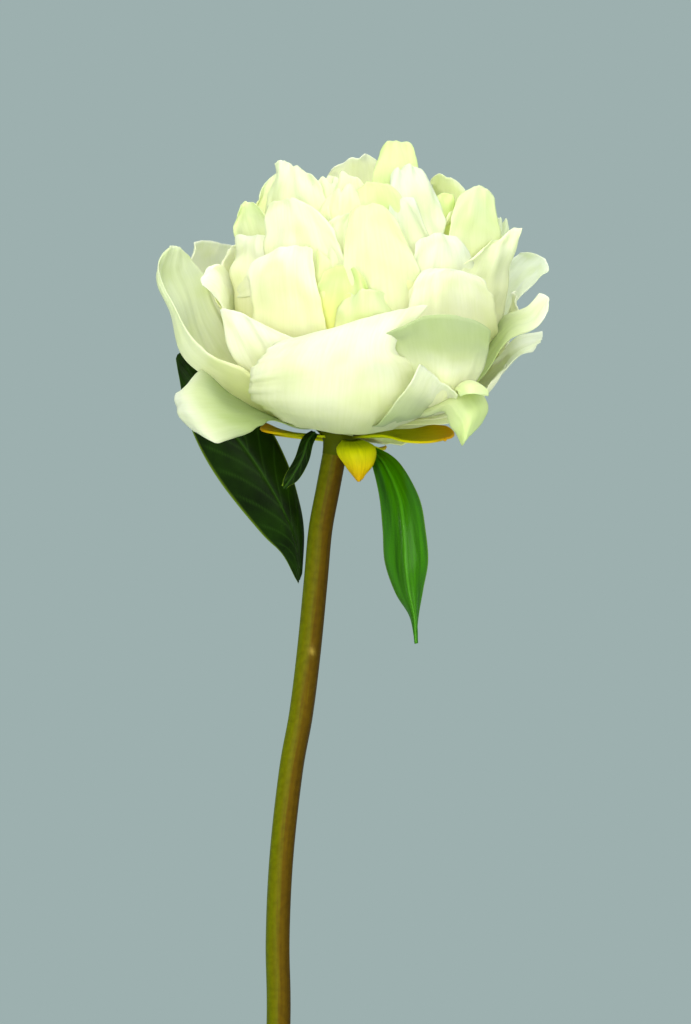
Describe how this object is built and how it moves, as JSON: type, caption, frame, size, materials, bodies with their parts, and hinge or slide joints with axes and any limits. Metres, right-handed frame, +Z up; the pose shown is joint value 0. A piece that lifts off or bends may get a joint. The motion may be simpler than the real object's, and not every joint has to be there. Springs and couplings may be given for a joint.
{
  "type": "peony in a bud vase",
  "caption": "Cut white peony with a full double bloom, sepals and leaves on a gently bent stem, standing in water in a slim round bud vase.",
  "frame": {"origin": "centre of the vase's flat base, on the surface it stands on", "axes": "+Z up, +X toward the side that the stem and the bloom lean to, -Y toward the viewer"},
  "size_m": [0.1238, 0.1208, 0.4556],
  "materials": {
    "glaze": "glossy pale celadon glaze on stoneware",
    "water": "clear water",
    "stem": "smooth skin, olive green on one side and red-brown on the other",
    "sepal": "satin, yellow-green with amber ends",
    "petal": "soft matte, creamy white with a yellow-green depth",
    "leaf_dark": "satin dark green with light veins",
    "leaf_bright": "glossy bright green"
  },
  "bodies": {
    "root": {"vase": "glaze", "water": "water", "stem": "stem", "calyx": "sepal", "bloom": "petal", "leaf_left": "leaf_dark", "leaf_right": "leaf_bright", "leaf_small": "leaf_dark"}
  },
  "joints": []
}
